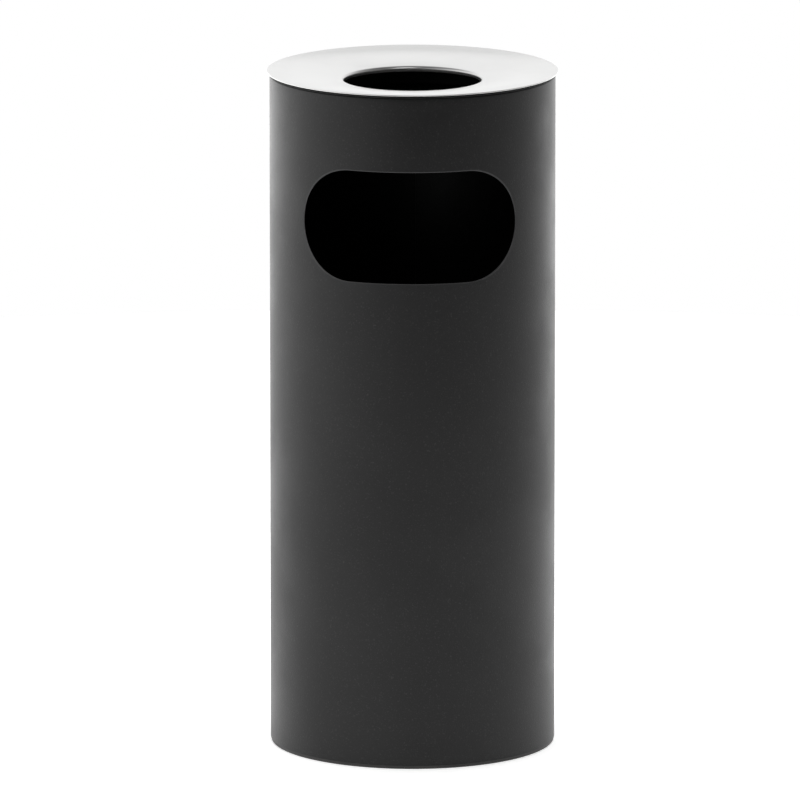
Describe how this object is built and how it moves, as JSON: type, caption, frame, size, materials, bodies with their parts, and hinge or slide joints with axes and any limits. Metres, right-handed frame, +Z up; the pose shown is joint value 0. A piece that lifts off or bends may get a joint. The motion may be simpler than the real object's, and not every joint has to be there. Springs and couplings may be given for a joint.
{
  "type": "ashtray bin",
  "caption": "Free-standing round ashtray bin: coated sheet-steel drum with a round-ended litter slot, lift-out liner with bail, ash pan with grid, dished steel lid with a central ash hole.",
  "frame": {"origin": "on the floor, at the drum's axis: the centre of the foot ring's resting face", "axes": "+Z up along the drum's axis, -Y out of the litter slot, +X to the right as seen from in front of the slot"},
  "size_m": [0.26, 0.26, 0.61],
  "materials": {
    "body_coat": "fine-textured powder coat, anthracite black, satin",
    "pan_coat": "black powder coat, matt, inside of the ash pan and the grid",
    "lid_steel": "stainless steel, bead-blasted satin, bright rolled edges",
    "foot_plastic": "moulded black edge ring, fine matt",
    "galvanised_sheet": "hot-dip galvanised sheet with a soft spangle",
    "galvanised_wire": "drawn galvanised wire, dull",
    "rivet_steel": "zinc-plated rivet and screw heads",
    "knob_plastic": "moulded black thermoset, satin"
  },
  "bodies": {
    "drum": {"outer_shell": "body_coat", "base_plate": "body_coat", "foot_ring": "foot_plastic"},
    "liner": {"liner_wall": "galvanised_sheet", "liner_bottom": "galvanised_sheet", "liner_rim_wire": "galvanised_wire", "bail_ear_left": "galvanised_sheet", "bail_ear_right": "galvanised_sheet", "ear_rivet_left_upper": "rivet_steel", "ear_rivet_left_lower": "rivet_steel", "ear_rivet_right_upper": "rivet_steel", "ear_rivet_right_lower": "rivet_steel"},
    "bail": {"bail_handle": "galvanised_wire"},
    "pan": {"ash_pan": "pan_coat"},
    "grid": {"stub_grid": "pan_coat", "grid_knob": "knob_plastic", "grid_knob_screw": "rivet_steel"},
    "lid": {"lid_dish": "lid_steel", "lid_tab_1": "lid_steel", "lid_tab_2": "lid_steel", "lid_tab_3": "lid_steel"}
  },
  "joints": [
    {"name": "liner_lift", "type": "slide", "parent": "drum", "child": "liner", "axis": [0, 0, 1], "range_m": [0, 0.65]},
    {"name": "bail_swing", "type": "hinge", "parent": "liner", "child": "bail", "pos_m": [0, 0, 0.3758], "axis": [1, 0, 0], "range_deg": [0, 180]},
    {"name": "pan_lift", "type": "slide", "parent": "liner", "child": "pan", "axis": [0, 0, 1], "range_m": [0, 0.15]},
    {"name": "grid_lift", "type": "slide", "parent": "pan", "child": "grid", "axis": [0, 0, 1], "range_m": [0, 0.08]},
    {"name": "lid_lift", "type": "slide", "parent": "grid", "child": "lid", "axis": [0, 0, 1], "range_m": [0, 0.12]}
  ]
}
